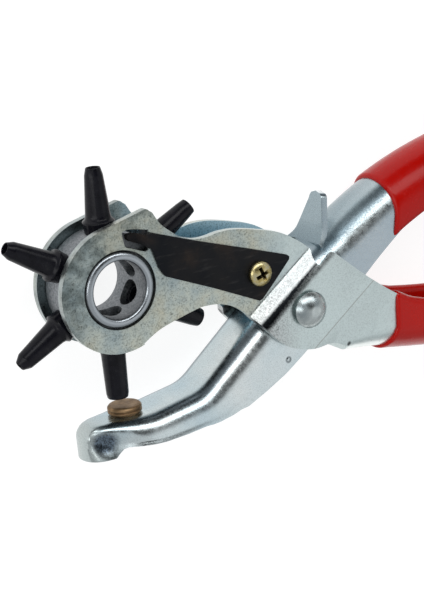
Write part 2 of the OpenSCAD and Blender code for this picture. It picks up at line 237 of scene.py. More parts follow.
def zinc_grey():
    """Cheeks: satin zinc, finely speckled, painted shade by the wheel, clean at the pivot, painted highlight
    on edges.
    """
    m = Mat("zinc_grey", Metallic=1.0)
    x, y, z = m.axis("X"), m.axis("Y"), m.size(m.axis("Z"))
    side = m.size(m.facing((0, 0, 1)))
    patch = m.noise(0.09, 4, 0.6)
    speck = m.noise(2.6, 2, 0.6)
    tint = m.ramp(patch, (0.34, (0.27, 0.34, 0.36)), (0.46, (0.39, 0.45, 0.44)),
                  (0.56, (0.48, 0.52, 0.47)), (0.66, (0.50, 0.50, 0.41)))
    # Painted shade, for a darker reflection: the upper left of the wheel's cheek is darker
    shade = m.times(m.step(m.minus(y, x), -4, 9), m.span(m.noise(0.22, 3, 0.6), 0.38, 0.58, 0.88, 0.3))
    tint = m.mix(shade, tint, (0.12, 0.145, 0.14))
    # The plates at the pivot are clean; painted reflection makes the inner faces bluish in the neck, painted
    # shade darkens them by the wheel
    clean = m.times(m.step(x, 36, 46, 0.0, 0.92), m.span(patch, 0.3, 0.6, 0.85, 1.0))
    tint = m.mix(clean, tint, CLEAN_ZINC)
    inside = (CHEEK_IN + 0.05, CHEEK_IN + 0.6)
    inner = m.times(m.step(z, *inside, 1.0, 0.0), m.step(x, 8, 15, 0.15, 0.9))
    tint = m.mix(inner, tint, (0.34, 0.52, 0.61))
    painted_inner_shade = m.times(m.step(z, *inside, 0.85, 0.0), m.step(x, 0, 5, 1.0, 0.0))
    tint = m.mix(painted_inner_shade, tint, (0.19, 0.235, 0.245))
    # The joggle's slope has its own speckled grey, and a painted dark reflection runs along its outer bend
    # and tapers to the top
    sin, cos = math.sin(JOGGLE_ANGLE), math.cos(JOGGLE_ANGLE)
    past = m.minus(m.minus(m.times(x, sin), m.times(y, cos)), JOGGLE_AT * MM)
    along = m.math("ADD", m.times(x, cos), m.times(y, sin))
    joggle_grey = m.ramp(speck, (0.34, grey(0.36)), (0.5, (0.44, 0.46, 0.46)), (0.62, (0.50, 0.52, 0.52)))
    tint = m.mix(m.step(past, -1.2, 0.2, 0.0, 0.9), tint, joggle_grey)
    tint = m.mix(m.times(m.step(past, 2.0, 4.5), clean), tint, CLEAN_ZINC)
    ragged = m.math("ADD", past, m.times(m.minus(speck, 0.5), 0.8 * MM))
    tapered = m.math("ADD", ragged, m.step(along, 22, 42, 0.0, 1.3 * MM))
    line = m.times(m.step(ragged, 1.75, 2.3), m.step(tapered, 3.4, 4.8, 1.0, 0.0), m.step(z, 8.2, 8.8))
    tint = m.mix(line, tint, (0.012, 0.014, 0.016))
    # Painted shade: a thin dark line along the bend behind the pivot
    crease = m.size(m.minus(past, CREASE * MM))
    tint = m.mix(m.step(crease, 0.05, 0.2, 0.55, 0.0), tint, (0.2, 0.18, 0.15))
    # Speckle and pits, weaker where the zinc is clean
    dark = m.mix(m.times(clean, 0.7), m.ramp(speck, (0.36, grey(0.62)), (0.52, WHITE)), WHITE)
    pits = m.mix(clean, m.ramp(m.noise(0.9, 4, 0.7), (0.31, grey(0.42)), (0.39, WHITE)), WHITE)
    colour = m.mix(1.0, m.mix(1.0, tint, dark, "MULTIPLY"), pits, "MULTIPLY")
    # Painted highlight on the bevelled edges, apart from the joggle's own slopes
    joggle = m.times(m.step(past, -1.2, -0.6), m.step(past, 4, 5, 1.0, 0.0))
    painted_edge_highlight = m.times(m.span(side, 0.1, 0.4, 0.2, 0.92), m.span(side, 0.75, 0.93, 1.0, 0.0))
    colour = m.mix(m.times(painted_edge_highlight, m.minus(1.0, joggle)), colour, (0.88, 0.92, 0.90))
    # Painted shade: a dark ring for a pressed pip, a dark spot for a hole in the plate's corner, the slot's
    # walls dark
    pip = m.times(m.near(PIP, 0.5, 0.25), m.minus(1.0, m.near(PIP, 0.3, 0.15)))
    colour = m.mix(m.times(pip, 0.4), colour, (0.22, 0.21, 0.19))
    colour = m.mix(m.times(m.near(CORNER_HOLE, 0.35, 0.5), 0.9), colour, grey(0.02))
    painted_slot_shade = m.times(m.near(SLOT, 4.3, 0.3), m.step(z, 6.3, 6.75, 0.95, 0.0), m.span(side, 0.2, 0.5, 1.0, 0.0))
    colour = m.mix(painted_slot_shade, colour, (0.015, 0.015, 0.017))
    grain = m.bump(speck, 0.3, 0.045)
    wave = m.bump(m.noise(0.09, 2), 0.22, 0.3, grain)
    return m.set(Base_Color=colour, Roughness=m.vary(m.noise(1.3, 3, 0.6), 0.27, 0.42), Normal=wave)


def zinc_bright():
    """Jaw and handle shanks: brighter, bluish zinc, with painted dark reflections round the fold."""
    m = Mat("zinc_bright", Metallic=1.0)
    x, y, z = m.axis("X"), m.axis("Y"), m.size(m.axis("Z"))
    patch = m.noise(0.045, 3, 0.5)
    speck = m.noise(3.0, 2, 0.6)
    tint = m.ramp(patch, (0.35, (0.45, 0.565, 0.62)), (0.52, (0.57, 0.65, 0.67)), (0.68, (0.665, 0.71, 0.71)))
    tint = m.mix(m.step(x, -9.5, -2, 0.85, 0.0), tint, (0.46, 0.50, 0.485))
    # Painted dark reflection: a band from the web's edge half-way round the fold, on both sides
    side = m.math("ADD", m.size(m.facing((0, 0, 1))), m.vary(speck, -0.04, 0.04))
    painted_dark_band = m.times(m.span(side, 0.12, 0.34), m.span(side, 0.6, 0.76, 1.0, 0.0))
    fade = m.times(m.step(x, -9, -5, 0.15, 1.0), m.step(x, 55, 59, 1.0, 0.1))
    colour = m.mix(m.times(painted_dark_band, fade, 0.8), tint, (0.06, 0.085, 0.11))
    # The lever's shank, by how each face looks: painted highlight on the web, painted dark reflection round
    # the fold, bluish painted reflection on the side
    shank = m.step(m.math("ADD", x, y), 46, 54)
    colour = m.mix(m.times(shank, m.span(side, 0.3, 0.5, 0.9, 0.0)), colour, (0.88, 0.92, 0.94))
    fold = m.times(m.span(side, 0.42, 0.56, 0.0, 0.95), m.span(side, 0.74, 0.86, 1.0, 0.0))
    colour = m.mix(m.times(shank, fold), colour, (0.06, 0.085, 0.105))
    colour = m.mix(m.times(shank, m.span(side, 0.93, 1.0, 0.0, 0.7)), colour, (0.27, 0.34, 0.40))
    # Painted shade on the ear's outer face, darkest at its root
    outer = m.span(m.facing((-0.9, 0.43, 0)), 0.4, 0.8, 0.0, 0.92)
    ear = m.times(outer, m.step(y, -5, -2), m.step(x, 50, 53))
    colour = m.mix(ear, colour, m.mix(m.step(y, -2, 3), (0.13, 0.19, 0.22), (0.27, 0.34, 0.37)))
    # Painted shade in the dent behind the nose, dark and speckled
    scale = m.ramp(speck, (0.4, (0.015, 0.02, 0.03)), (0.6, (0.14, 0.19, 0.25)))
    colour = m.mix(m.times(m.near(DENT, 1.9, 1.7), m.step(z, 1.5, 3.5, 0.0, 0.93)), colour, scale)
    # Painted shade: a dark ring round the nub on the skirt
    nub = m.times(m.near(NUB, 0.75, 0.25), m.minus(1.0, m.near(NUB, 0.35, 0.2)))
    colour = m.mix(m.times(nub, 0.65), colour, (0.12, 0.14, 0.15))
    colour = m.mix(1.0, colour, m.ramp(speck, (0.34, grey(0.84)), (0.5, WHITE)), "MULTIPLY")
    grain = m.bump(speck, 0.2, 0.04)
    drawn = m.bump(m.noise(0.35, 3, 0.55, m.stretched((0.5, 1.6, 1.6), (0, 0, -0.6))), 0.14, 0.12, grain)
    knob = m.bump(m.near(NUB, 0.2, 0.5), 0.7, 0.3, drawn)
    soft = m.bump(m.noise(0.06, 1), 0.3, 0.5, knob)
    return m.set(Base_Color=colour, Roughness=m.vary(m.noise(0.8, 3, 0.6), 0.2, 0.33), Normal=soft)


def cast_grey():
    """Turret: matt plated casting, bright where the lips were turned, painted shade under the cheeks."""
    m = Mat("cast_grey", Metallic=1.0)
    z = m.size(m.axis("Z"))
    turned = m.step(z, 6.9, 7.15)
    speck = m.noise(1.9, 4, 0.65)
    cast = m.ramp(speck, (0.3, (0.11, 0.12, 0.13)), (0.5, (0.23, 0.245, 0.26)), (0.7, (0.33, 0.34, 0.35)))
    colour = m.mix(turned, cast, (0.34, 0.37, 0.395))
    # Painted shade on the drum's end faces under the cheeks, outside the lips
    painted_cheek_shade = m.times(m.step(z, 4.9, 5.15, 0.0, 0.92), m.minus(1.0, m.near((0, 0), LIP_R + 0.5, 0.4)))
    colour = m.mix(painted_cheek_shade, colour, (0.02, 0.02, 0.022))
    rough = m.span(turned, 0, 1, 0.48, 0.21)
    return m.set(Base_Color=colour, Roughness=rough, Normal=m.bump(speck, 0.5, 0.08))


def black_oxide():
    """Punch tubes: satin black, cloudy and finely turned."""
    m = Mat("black_oxide", IOR=1.6, Specular_IOR_Level=DIM_SPECULAR)
    colour = m.ramp(m.noise(0.5, 4, 0.6), (0.35, (0.003, 0.003, 0.005)), (0.6, (0.006, 0.006, 0.009)),
                    (0.75, (0.016, 0.016, 0.018)))
    rough = m.vary(m.noise(4.0, 2, 0.6), 0.16, 0.3)
    return m.set(Base_Color=colour, Roughness=rough, Normal=m.bump(m.noise(3.2, 1), 0.25, 0.03))


def spring_black():
    """Index leaf: blackened spring steel with faint brown bloom and rubs, its tongue dull."""
    m = Mat("spring_black", IOR=1.45, Specular_IOR_Level=DIM_SPECULAR)
    bloom = m.noise(0.12, 4, 0.6)
    rub = m.noise(0.5, 3, 0.6, m.stretched((0.35, 2.2, 1), (0, 0, 0.33)))
    base = m.ramp(bloom, (0.35, (0.005, 0.006, 0.008)), (0.55, (0.009, 0.009, 0.010)),
                  (0.72, (0.022, 0.016, 0.013)))
    colour = m.mix(m.span(rub, 0.56, 0.74, 0.0, 0.4), base, (0.045, 0.043, 0.042))
    rough = m.math("MAXIMUM", m.vary(rub, 0.3, 0.5), m.times(m.near(TONGUE, 2.8, 1.2), 0.8))
    return m.set(Base_Color=colour, Roughness=rough, Normal=m.bump(m.noise(2.4, 3, 0.6), 0.3, 0.04))


def yellow_zinc():
    """Screw: yellow plating, olive where it is worn, darker deep in the cross recess."""
    m = Mat("yellow_zinc", Metallic=1.0)
    colour = m.ramp(m.noise(0.6, 3, 0.6), (0.35, (0.36, 0.28, 0.1)), (0.52, (0.56, 0.48, 0.24)),
                    (0.68, (0.5, 0.47, 0.34)))
    # Darker deep in the cross recess
    deep_recess = m.times(m.near(SCREW, 1.7, 0.4), m.step(m.axis("Z"), 8.9, 9.7, 0.92, 0.0))
    colour = m.mix(deep_recess, colour, (0.02, 0.016, 0.01))
    rough = m.vary(m.noise(3, 3, 0.6), 0.2, 0.38)
    return m.set(Base_Color=colour, Roughness=rough, Normal=m.bump(m.noise(3.5, 2), 0.25, 0.04))


def bronze():
    """Anvil: dull brown bronze, cloudy and finely pitted."""
    m = Mat("bronze", Metallic=0.9)
    colour = m.ramp(m.noise(0.35, 4, 0.6), (0.32, (0.10, 0.064, 0.034)), (0.5, (0.20, 0.125, 0.064)),
                    (0.7, (0.31, 0.205, 0.11)))
    rough = m.vary(m.noise(1.6, 3, 0.6), 0.38, 0.58)
    return m.set(Base_Color=colour, Roughness=rough, Normal=m.bump(m.noise(2.2, 4, 0.6), 0.4, 0.06))


def bright_steel():
    """Rivet: polished steel with small marks."""
    m = Mat("bright_steel", Metallic=1.0)
    colour = m.ramp(m.noise(0.25, 3, 0.55), (0.35, (0.28, 0.32, 0.33)), (0.6, (0.5, 0.545, 0.54)))
    marks = m.noise(1.4, 4, 0.65)
    return m.set(Base_Color=colour, Roughness=m.vary(marks, 0.2, 0.34), Normal=m.bump(marks, 0.14, 0.05))


def spring_steel():
    """Opening spring: dark drawn wire."""
    m = Mat("spring_steel", Metallic=1.0)
    colour = m.ramp(m.noise(0.8, 3), (0.35, grey(0.2)), (0.65, grey(0.34)))
    rough = m.vary(m.noise(3, 2), 0.28, 0.42)
    return m.set(Base_Color=colour, Roughness=rough, Normal=m.bump(m.noise(4, 2), 0.2, 0.03))


def red_vinyl():
    """Dipped vinyl: deep glossy red with slow flow waves."""
    m = Mat("red_vinyl", IOR=1.52, Specular_IOR_Level=0.16, Coat_Weight=0.05, Coat_Roughness=0.08)
    colour = m.ramp(m.noise(0.03, 2, 0.5), (0.35, (0.33, 0.001, 0.0)), (0.65, (0.41, 0.004, 0.001)))
    flow = m.bump(m.noise(0.05, 2, 0.5, m.stretched((0.4, 1, 1))), 0.5, 0.5)
    skin = m.bump(m.noise(0.9, 2, 0.5), 0.06, 0.05, flow)
    return m.set(Base_Color=colour, Roughness=m.vary(m.noise(0.5, 4, 0.6), 0.17, 0.3), Normal=skin)


def studio_floor():
    """White acrylic lit a little from below, so that shadows stay pale."""
    m = Mat("studio_floor", Roughness=0.7, Specular_IOR_Level=0.2)
    m.set(Emission_Color=(1, 1, 1, 1), Emission_Strength=0.85)
    colour = m.ramp(m.noise(0.004, 2), (0.3, grey(0.27)), (0.7, grey(0.28)))
    return m.set(Base_Color=colour, Normal=m.bump(m.noise(0.3, 2), 0.03, 0.1))


MATERIALS = {f.__name__: f() for f in (zinc_grey, zinc_bright, cast_grey, black_oxide, spring_black,
                                       yellow_zinc, bronze, bright_steel, spring_steel, red_vinyl,
                                       studio_floor)}

# ---- curves --------------------------------------------------------------------


def smooth_line(points, n=8):
    """Catmull-Rom curve through points, open, with n steps between two of them."""
    p = np.array(points, float)
    out = []
    for i in range(len(p) - 1):
        a, b, c, d = p[max(i - 1, 0)], p[i], p[i + 1], p[min(i + 2, len(p) - 1)]
        for k in range(n):
            t = k / n
            out.append(0.5 * (2 * b + (c - a) * t + (2 * a - 5 * b + 4 * c - d) * t * t
                              + (3 * b - a - 3 * c + d) * t ** 3))
    return [tuple(q) for q in out + [p[-1]]]


def arc(radius, start, end, n, centre=(0.0, 0.0)):
    """n points on an arc."""
    return [(centre[0] + radius * math.cos(a), centre[1] + radius * math.sin(a))
            for a in np.linspace(math.radians(start), math.radians(end), n)]


def follow(start, pieces, step=1.2):
    """Stations [x, y, direction] along lines (length, 0) and arcs (radius, turn)."""
    x, y, d = start
    out = [(x, y, d)]
    for size, turn in pieces:
        length = size if turn == 0 else size * math.radians(abs(turn))
        n = max(2, round(length / step))
        a = math.radians(d)
        for k in range(1, n + 1):
            if turn == 0:
                out.append((x + size * k / n * math.cos(a), y + size * k / n * math.sin(a), d))
            else:
                g = math.copysign(1, turn)
                cx, cy = x - g * size * math.sin(a), y + g * size * math.cos(a)
                b = math.radians(d + turn * k / n)
                out.append((cx + g * size * math.sin(b), cy - g * size * math.cos(b), d + turn * k / n))
        x, y, d = out[-1]
    return np.array(out)


def run_length(stations):
    """How far each station is along its path."""
    return np.concatenate([[0], np.cumsum(np.hypot(*np.diff(stations[:, :2], axis=0).T))])


def at_station(s, u, z):
    """A point u to the left of a station and z up."""
    a = math.radians(s[2])
    return (s[0] - u * math.sin(a), s[1] + u * math.cos(a), z)


def rounded(profile, r=0.15, n=3):
    """Rounds the corners of a closed 2-D profile by up to r, apart from those on its axis."""
    p = [Vector(q) for q in profile]
    out = []
    for i, q in enumerate(p):
        a, b = p[i - 1], p[(i + 1) % len(p)]
        if q.x < 1e-6 or (q - a).length < 1e-6 or (b - q).length < 1e-6:
            out.append(tuple(q))
            continue
        k = min(r, (q - a).length * 0.45, (b - q).length * 0.45)
        s, e = q + (a - q).normalized() * k, q + (b - q).normalized() * k
        for j in range(n + 1):
            t = j / n
            out.append(tuple(s * (1 - t) ** 2 + q * 2 * t * (1 - t) + e * t * t))
    return out


# ---- meshes --------------------------------------------------------------------


def place(name, data, material=None):
    """A new object in the scene."""
    ob = bpy.data.objects.new(name, data)
    bpy.context.collection.objects.link(ob)
    if material:
        data.materials.append(MATERIALS[material])
    return ob


def to_mesh(name, bm):
    mesh = bpy.data.meshes.new(name)
    bm.to_mesh(mesh)
    bm.free()
    return mesh


def vertex(bm, x, y, z):
    """A vertex from millimetres."""
    return bm.verts.new(Vector((x, y, z)) * MM)


def bridge(bm, rows):
    """Faces between rows of vertices."""
    return [bm.faces.new((a[k], b[k], b[k + 1], a[k + 1]))
            for a, b in zip(rows, rows[1:]) for k in range(len(a) - 1)]


def solid(name, verts, faces, material, merge=0.004):
    """A closed mesh object from millimetres."""
    bm = bmesh.new()
    vs = [vertex(bm, *v) for v in verts]
    for f in faces:
        bm.faces.new([vs[i] for i in f])
    bmesh.ops.remove_doubles(bm, verts=bm.verts, dist=merge * MM)
    bmesh.ops.recalc_face_normals(bm, faces=bm.faces)
    return place(name, to_mesh(name, bm), material)


def lathe(profile, steps=96):
    """Vertices and faces of a closed [radius, height] profile turned about Z."""
    verts, faces, n = [], [], len(profile)
    for k in range(steps):
        a = 2 * math.pi * k / steps
        verts += [(r * math.cos(a), r * math.sin(a), h) for r, h in profile]
        here, there = k * n, ((k + 1) % steps) * n
        faces += [(here + j, there + j, there + (j + 1) % n, here + (j + 1) % n) for j in range(n)]
    return verts, faces


def turned(name, profile, matrix, material, steps=96, merge=0.004):
    """A lathed solid, moved into place."""
    verts, faces = lathe(profile, steps)
    return solid(name, [matrix @ Vector(v) for v in verts], faces, material, merge)


def smooth(ob, sharp):
    for p in ob.data.polygons:
        p.use_smooth = True
    ob.data.set_sharp_from_angle(angle=math.radians(sharp))


def finish(ob, body, node, sharp=32):
    """Shades a piece, sets it on its body and lets it stand for its CAD node."""
    smooth(ob, sharp)
    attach(ob, body)
    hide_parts(node)


def bevel(ob, width, segments, angle):
    """Rounds the edges sharper than an angle."""
    b = ob.modifiers.new("edges", "BEVEL")
    b.width = width * MM
    b.segments = segments
    b.limit_method = "ANGLE"
    b.angle_limit = math.radians(angle)


def drill(ob, tool):
    """Takes a tool's shape out of a piece."""
    cut = ob.modifiers.new(tool.name, "BOOLEAN")
    cut.object = tool
    cut.operation = "DIFFERENCE"


def baked(ob, *tools):
    """Makes the object's modifiers real and removes their tools."""
    dg = bpy.context.evaluated_depsgraph_get()
    mesh = bpy.data.meshes.new_from_object(ob.evaluated_get(dg))
    mesh.name = ob.data.name
    ob.modifiers.clear()
    ob.data = mesh
    for tool in tools:
        bpy.data.objects.remove(tool)


def thicken(ob, thickness, edge, segments=3, angle=45):
    """Gives a sheet its thickness, inwards, and rounds its cut edges."""
    m = ob.modifiers.new("thickness", "SOLIDIFY")
    m.thickness = thickness * MM
    m.offset = -1.0
    m.use_even_offset = True
    m.use_quality_normals = True
    bevel(ob, edge, segments, angle)
    baked(ob)


# ---- the lower handle with its cheeks ----------------------------------------

CHEEK_TOP = smooth_line([(10.1, 16.1), (11.9, 13.1), (14.1, 11), (16.9, 8.9), (20.5, 7.6), (23.7, 7.4),
                         (27.5, 7.8), (32, 7.5), (38, 6.1), (44.4, 4), (49.8, 0.6), (52.3, -1.6)])
NOTCH = smooth_line([(52.4, -2.0), (52.1, -3.2), (52.15, -4.5), (52.8, -5.3), (54.1, -4.7), (55.9, -3.0),
                     (56.5, -2.75), (57.2, -3.15)], 4)
NECK_TOP = smooth_line([(57.4, -3.3), (61.5, -6.9), (65.6, -10.4), (68.5, -12.7), (73.6, -16.4),
                        (78.5, -19.5), (84, -22.4)])
RELIEF = [(60.15, -27.9), (59.2, -27.5), (57.9, -26.9), (56.6, -26.2), (55.3, -25.8)]
CHEEK_LOW = smooth_line([(53.9, -25.6), (49.1, -25.7), (43.5, -24.1), (39.5, -21.5), (35.8, -17.2),
                         (32.8, -13.4), (29.4, -10.9), (26, -9.5), (22.6, -9), (19, -9.2), (9.7, -11.4),
                         (4.6, -13.9)])
SLOT_OUTLINE = smooth_line([(3.1, 9.2), (2.25, 9.9), (1.85, 12.7), (2.4, 13.35), (4.3, 13.4), (8.1, 12.5),
                            (8.7, 12.1), (8.3, 8.1), (7.7, 7.5), (7.0, 7.6), (3.8, 9.0), (3.1, 9.2)], 3)[:-1]
CHEEK_R = 14.9
PEAK = (8.3, 15.95)
PEAK_R = 1.25
LEG_FROM = 86  # the legs' lower edge is drawn from this X, where the neck's curve ends


def fold_height(t):
    """Outer height of the folded sheet at t millimetres past the joggle line."""
    rise, run, back = 0.6, 1.75, 3.0
    q = t + 0.8
    a, b, c = np.clip(q, 0, rise), np.clip(q - rise, 0, run), np.clip(q - rise - run, 0, back)
    k = (a * a / (2 * rise) + b + c - c * c / (2 * back)) / (rise / 2 + run + back / 2)
    z = CHEEK_OUT + (PLATE_OUT - CHEEK_OUT) * k
    return float(z - (PLATE_OUT - LOW_HALF) * np.clip((t - CREASE) / 11.5, 0, 1))


def past_joggle(x, y):
    return x * math.sin(JOGGLE_ANGLE) - y * math.cos(JOGGLE_ANGLE) - JOGGLE_AT


def low_fold(x):
    return float(np.interp(x, [60, 76, 105], [3.4, 6.6, LOW_HALF - 0.05]))


def cheek_outline(stations, seam):
    """Side outline of one cheek with its plate and handle leg, counter-clockwise."""
    disc = arc(CHEEK_R, 289, 102, 60)
    tip = arc(PEAK_R, 102, 33, 7, PEAK)
    legs = [at_station(s, LOW_DEPTH, 0)[:2] for s in stations]
    legs = [p for p in legs if p[0] > LEG_FROM]
    back = [p[:2] for p in reversed(seam)]
    outline = disc + tip + CHEEK_TOP + NOTCH + NECK_TOP + legs + back + RELIEF + CHEEK_LOW
    kept = outline[:1]
    for p in outline:
        if math.dist(p, kept[-1]) > 0.04:
            kept.append(p)
    return kept


def plate(outline, holes, side):
    """One cheek: fills its outline and lifts it over the joggle, to one side."""
    bm = bmesh.new()
    edges = []
    for loop in [outline] + holes:
        vs = [bm.verts.new((x * MM, y * MM, 0)) for x, y in loop]
        edges += [bm.edges.new(pair) for pair in zip(vs, vs[1:] + vs[:1])]
    bmesh.ops.triangle_fill(bm, use_beauty=True, edges=edges)
    normal = Vector((math.sin(JOGGLE_ANGLE), -math.cos(JOGGLE_ANGLE), 0))
    for t in [*np.arange(-0.9, 4.8, 0.22), CREASE - 0.2, CREASE, CREASE + 0.2, 22, 25.6, 29.3]:
        geom = list(bm.verts) + list(bm.edges) + list(bm.faces)
        bmesh.ops.bisect_plane(bm, geom=geom, plane_co=normal * (JOGGLE_AT + t) * MM, plane_no=normal)
    for v in bm.verts:
        v.co.z = side * fold_height(past_joggle(v.co.x / MM, v.co.y / MM)) * MM
    return to_mesh("plate", bm)


def make_frame():
    """Two mirrored plates, joined along the seam by the round back of the handle."""
    stations = follow(LOW_START, LOW_PATH)
    fold = [low_fold(x) for x in stations[:, 0]]
    seam = [at_station(s, f, 0) for s, f in zip(stations, fold)]
    outline = cheek_outline(stations, seam)
    hub = arc(LIP_R + LIP_GAP, 0, 360, 97)[:-1]
    bm = bmesh.new()
    bm.from_mesh(plate(outline, [hub, SLOT_OUTLINE], 1))
    bm.from_mesh(plate(outline, [hub], -1))
    n = 12
    rows = []
    for s, f, p in zip(stations, fold, seam):
        half = fold_height(past_joggle(p[0], p[1]))
        row = []
        for k in range(-n, n + 1):
            a = math.radians(90 * abs(k) / n)
            z = math.copysign(half - f + f * math.sin(a), k) if k else 0.0
            row.append(vertex(bm, *at_station(s, f * (1 - math.cos(a)), z)))
        rows.append(row)
    bridge(bm, rows)
    bmesh.ops.remove_doubles(bm, verts=bm.verts, dist=0.02 * MM)
    bmesh.ops.recalc_face_normals(bm, faces=bm.faces)
    front = [f for f in bm.faces if f.calc_center_median().z > (CHEEK_OUT - 0.1) * MM]
    if max(front, key=lambda f: f.calc_area()).normal.z < 0:
        bmesh.ops.reverse_faces(bm, faces=bm.faces)
    ob = place("folded_cheeks", to_mesh("folded_cheeks", bm), "zinc_grey")
    thicken(ob, SHEET, 0.42)
    finish(ob, "frame", "cheek_frame")


# ---- the lever -----------------------------------------------------------------

DENTS = [(-6.8, -36.4, 2.6, 2.0), (-8.8, -35.0, 1.6, 0.7), (-2.8, -36.6, 2.4, 0.7)]  # x, y, width, depth
EAR_START = (55.85, -1.6, 37)
EAR_PATH = [(1.0, 0), (4.6, 40), (8.7, 0)]
EAR_ROUND = 0.86  # the share of its length at which the ear's tip begins


def along_lever(x, *stops):
    """A measure of the lever at X, from stops (X, value)."""
    return float(np.interp(x, *zip(*stops)))


def lever_shape(x):
    """Half width, fold radius, skirt depth and flare at the web's X."""
    half = along_lever(x, (-5.2, 6.3), (-3, 6.9), (0, 7.9), (3.5, 8.6), (6, LEVER_HALF))
    fold = along_lever(x, (-5.2, 3.6), (0, 4.4), (8, 4.9), (22, 5.3), (50, LEVER_FOLD), (53.5, 6.5),
                       (60.5, LEVER_HALF - 0.05))
    depth = along_lever(x, (-5.2, 7.9), (-4.6, 7.4), (-3.6, 6.3), (-2.4, 5.8), (2, 5.9), (12, 7.1), (17, 7.4),
                        (20, 8.8), (23.3, 11.3), (28, 12.9), (33, 14.3), (39, 15), (52, 15), (60, 14.6),
                        (68, 13.6), (78, 12.1), (85, UP_DEPTH))
    flare = along_lever(x, (-4, 0), (1, 0.35), (12, 0.35), (24, 0.2), (33, 0))
    return half, fold, depth, flare


def half_section(x, corner=10, web=5, skirt=9):
    """[u, z] from the web's middle to the skirt's edge."""
    half, fold, depth, flare = lever_shape(x)
    pts = [(0.0, (half - fold) * k / web) for k in range(web)]
    pts += [(-fold * (1 - math.cos(a)), half - fold + fold * math.sin(a))
            for a in np.linspace(0, math.pi / 2, corner + 1)]
    for k in range(1, skirt + 1):
        t = k / skirt
        waist = -0.28 * math.sin(math.pi * min(1, t * 1.3))
        pts.append((-fold - (depth - fold) * t, half + flare * (t * t + waist)))
    return pts


def add_nose(bm, start, steps=32):
    """The lever's closed round nose: its half section turned about the web's end."""
    d = math.radians(start[2])
    back = Vector((-math.cos(d), -math.sin(d), 0))
    rows = []
    for j in range(steps + 1):
        a = math.pi * j / steps
        droop = 1 + 0.03 * math.sin(a)
        rows.append([])
        for u, r in half_section(start[0]):
            p = Vector(at_station(start, u * (droop if u < -LEVER_FOLD else 1), r * math.cos(a)))
            rows[-1].append(vertex(bm, *(p + back * r * math.sin(a) * 0.98)))
    for a, b in zip(rows, rows[1:]):
        bm.faces.new((a[0], a[1], b[1]))
        for k in range(1, len(a) - 1):
            bm.faces.new((a[k], a[k + 1], b[k + 1], b[k]))


def ear_rows(bm):
    """Rows of a tapering tab that leaves the web in a bend."""
    ear = follow(EAR_START, EAR_PATH, 0.5)
    total = run_length(ear)
    rows = []
    for s, d in zip(ear, total):
        k = d / total[-1]
        near = float(np.interp(k, [0, 0.14, 0.3, EAR_ROUND], [6.4, 5.2, 4.4, 2.7]))
        far = float(np.interp(k, [0, 0.15, 0.3, EAR_ROUND], [7.2, 6.4, 5.7, 2.3]))
        if k > EAR_ROUND:
            end = math.sqrt(max(0.0, 1 - ((k - EAR_ROUND) / (1 - EAR_ROUND)) ** 2))
            near, far = near * end + 0.03, far * end + 0.03
        rows.append([vertex(bm, *at_station(s, 0, (near if j > 0 else far) * j / 6)) for j in range(-6, 7)])
    return rows


def make_lever():
    """Jaw, web and upper handle, one sheet, with a dent pressed into both walls behind the nose."""
    stations = follow(LEVER_START, LEVER_PATH, 1.0)
    bm = bmesh.new()
    rows = []
    for s in stations:
        pts = half_section(s[0])
        mirrored = [(u, -z) for u, z in reversed(pts[1:])]
        rows.append([vertex(bm, *at_station(s, u, z)) for u, z in mirrored + pts])
    bridge(bm, rows)
    add_nose(bm, stations[0])
    bmesh.ops.remove_doubles(bm, verts=bm.verts, dist=0.01 * MM)
    for v in bm.verts:
        x, y, z = v.co / MM
        for a, b, wide, deep in DENTS:
            push = deep * math.exp(-((x - a) ** 2 + (y - b) ** 2) / wide ** 2)
            if abs(z) > 3.5:
                v.co.z -= math.copysign(push, z) * MM
    ear = ear_rows(bm)
    bmesh.ops.recalc_face_normals(bm, faces=bm.faces)
    web = Vector((12, LEVER_START[1], 0)) * MM
    probe = min(bm.faces, key=lambda f: (f.calc_center_median() - web).length)
    if probe.normal.y < 0:
        bmesh.ops.reverse_faces(bm, faces=bm.faces)
    for f in bridge(bm, ear):
        f.normal_update()
        if f.normal.x > 0:
            f.normal_flip()
    ob = place("jaw_lever", to_mesh("jaw_lever", bm), "zinc_bright")
    thicken(ob, SHEET, 0.35)
    finish(ob, "lever", "anvil_lever", 40)


# ---- grips ----------------------------------------------------------------------


def coat_ring(half, fold, depth, out, n=12):
    """Closed [u, z] loop round the sheet: out is the coat's thickness here."""
    h, f = half + out, fold + out
    g, e = half - SHEET - out, max(fold - SHEET - out, 0.2)
    quarter = np.linspace(0, math.pi / 2, n + 1)
    outer = [(out - f * (1 - math.cos(a)), h - f + f * math.sin(a)) for a in quarter]
    inner = [(-SHEET - out - e * (1 - math.cos(a)), g - e + e * math.sin(a)) for a in quarter]
    r = (SHEET + 2 * out) / 2
    mid = half - SHEET / 2
    tip = [(-depth - out + r - r * math.sin(a), mid + r * math.cos(a)) for a in np.linspace(0.0, math.pi, 9)]
    one = outer + tip + inner[::-1]
    return one + [(u, -z) for u, z in reversed(one)]


def coat_thickness(from_start, from_end, roll=0.9):
    """The coat rolls in to the metal at its start and closes over the handle's end."""
    if from_end < roll:
        return COAT * math.sqrt(max(0.05, 1 - (1 - from_end / roll) ** 2))
    edge = min(1.0, from_start / roll)
    return COAT * (0.3 + 0.7 * math.sqrt(max(0.0, 1 - (1 - edge) ** 2)))


